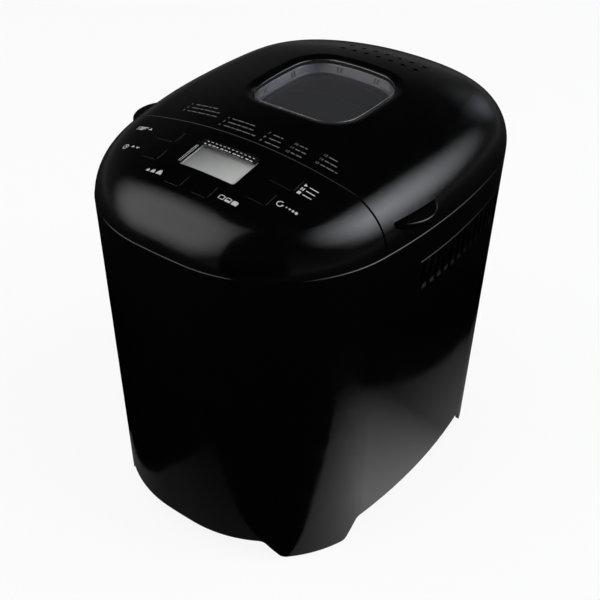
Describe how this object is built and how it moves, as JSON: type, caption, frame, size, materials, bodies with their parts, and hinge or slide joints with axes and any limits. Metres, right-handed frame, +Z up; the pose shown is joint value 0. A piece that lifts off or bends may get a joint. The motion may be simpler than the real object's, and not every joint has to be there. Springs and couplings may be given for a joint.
{
  "type": "bread machine",
  "caption": "Compact bread machine with a bowed black body, hinged domed lid with window and tabs, sloping key panel, oven chamber, lift-out pan, kneading paddle and belt drive.",
  "frame": {"origin": "on the floor, under the middle of the bounding box (233 x 299 mm)", "axes": "+Z up, -Y towards the control panel at the front, +X to the right seen from the front; the lid hinge runs along X at the rear"},
  "size_m": [0.233, 0.2992, 0.2855],
  "materials": {
    "black_gloss": "gloss",
    "black_satin": "satin",
    "window_glass": "clear",
    "display_glass": "clear",
    "lcd": "satin",
    "board_green": "satin",
    "dark_part": "matte",
    "rubber": "matte",
    "silicone": "matte",
    "grey_plastic": "satin",
    "steel": "brushed",
    "oven_steel": "brushed",
    "aluminium": "satin",
    "pan_coat": "satin",
    "bronze": "satin",
    "ceramic": "matte",
    "iron": "matte"
  },
  "bodies": {
    "base": {"body_shell": "black_gloss", "base_plate": "black_satin", "foot_pads": "rubber", "top_deck": "black_satin", "control_panel": "black_gloss", "display_lens": "display_glass", "lcd_module": "lcd", "control_board": "board_green", "key_switches": "dark_part", "hinge_brackets": "black_satin", "hinge_pins": "steel", "case_screws": "steel", "oven_chamber": "oven_steel", "pan_seat": "aluminium", "seat_clips": "steel", "heating_element": "steel", "heater_bushes": "ceramic", "temperature_probe": "steel", "thermal_fuse": "aluminium", "bearing_housing": "aluminium", "shaft_bushes": "bronze", "drive_belt": "rubber", "motor_stator": "iron", "motor_caps": "aluminium", "motor_mounts": "rubber", "chassis_plate": "steel", "chassis_posts": "steel", "chamber_standoffs": "steel", "power_board": "board_green", "board_parts": "dark_part", "run_capacitor": "dark_part", "capacitor_strap": "steel", "cord_gland": "black_satin"},
    "lid": {"lid_cover": "black_gloss", "lid_liner": "aluminium", "window_glass": "window_glass", "window_frame": "grey_plastic", "inner_glass": "window_glass", "lid_seal": "silicone", "hinge_arms": "black_satin"},
    "drive": {"drive_shaft": "steel", "drive_coupling": "aluminium", "drive_pulley": "dark_part", "shaft_clip": "steel"},
    "motor": {"motor_rotor": "steel", "motor_pulley": "aluminium", "motor_fan": "dark_part"},
    "pan": {"bread_pan": "pan_coat", "pan_ring": "aluminium", "pan_bush": "bronze"},
    "pan_drive": {"pan_shaft": "steel", "pan_coupling": "aluminium"},
    "handle": {"pan_handle": "steel"},
    "paddle": {"kneading_paddle": "pan_coat"},
    "key_program": {"key_program": "black_gloss"},
    "key_timer": {"key_timer": "black_gloss"},
    "key_weight": {"key_weight": "black_gloss"},
    "key_crust": {"key_crust": "black_gloss"},
    "key_cycle": {"key_cycle": "black_gloss"},
    "key_start": {"key_start": "black_gloss"}
  },
  "joints": [
    {"name": "lid_hinge", "type": "hinge", "parent": "base", "child": "lid", "pos_m": [0, 0.14535, 0.2383], "axis": [-1, 0, 0], "range_deg": [0, 90]},
    {"name": "drive_spin", "type": "hinge", "parent": "base", "child": "drive", "pos_m": [0, 0.01535, 0.062], "axis": [0, 0, 1], "continuous": true},
    {"name": "motor_spin", "type": "hinge", "parent": "base", "child": "motor", "pos_m": [0, -0.09965, 0.064], "axis": [0, 0, 1], "continuous": true},
    {"name": "pan_lift", "type": "slide", "parent": "base", "child": "pan", "axis": [0, 0, 1], "range_m": [0, 0.05]},
    {"name": "pan_spin", "type": "hinge", "parent": "pan", "child": "pan_drive", "pos_m": [0, 0.01535, 0.082], "axis": [0, 0, 1], "continuous": true},
    {"name": "handle_swing", "type": "hinge", "parent": "pan", "child": "handle", "pos_m": [0, 0.01535, 0.199], "axis": [-1, 0, 0], "range_deg": [0, 180]},
    {"name": "paddle_lift", "type": "slide", "parent": "pan_drive", "child": "paddle", "axis": [0, 0, 1], "range_m": [0, 0.06]},
    {"name": "key_program_press", "type": "slide", "parent": "base", "child": "key_program", "axis": [0, 0.1795, -0.9838], "range_m": [0, 0.001], "stiffness_N_per_m": 900, "springref_m": -0.0008},
    {"name": "key_timer_press", "type": "slide", "parent": "base", "child": "key_timer", "axis": [0, 0.1795, -0.9838], "range_m": [0, 0.001], "stiffness_N_per_m": 900, "springref_m": -0.0008},
    {"name": "key_weight_press", "type": "slide", "parent": "base", "child": "key_weight", "axis": [0, 0.1795, -0.9838], "range_m": [0, 0.001], "stiffness_N_per_m": 900, "springref_m": -0.0008},
    {"name": "key_crust_press", "type": "slide", "parent": "base", "child": "key_crust", "axis": [0, 0.1795, -0.9838], "range_m": [0, 0.001], "stiffness_N_per_m": 900, "springref_m": -0.0008},
    {"name": "key_cycle_press", "type": "slide", "parent": "base", "child": "key_cycle", "axis": [0, 0.1795, -0.9838], "range_m": [0, 0.001], "stiffness_N_per_m": 900, "springref_m": -0.0008},
    {"name": "key_start_press", "type": "slide", "parent": "base", "child": "key_start", "axis": [0, 0.1795, -0.9838], "range_m": [0, 0.001], "stiffness_N_per_m": 900, "springref_m": -0.0008}
  ],
  "couplings": [
    {"joint": "motor_spin", "follows": "drive_spin", "ratio": 5.1111},
    {"joint": "pan_spin", "follows": "drive_spin", "ratio": 1}
  ]
}
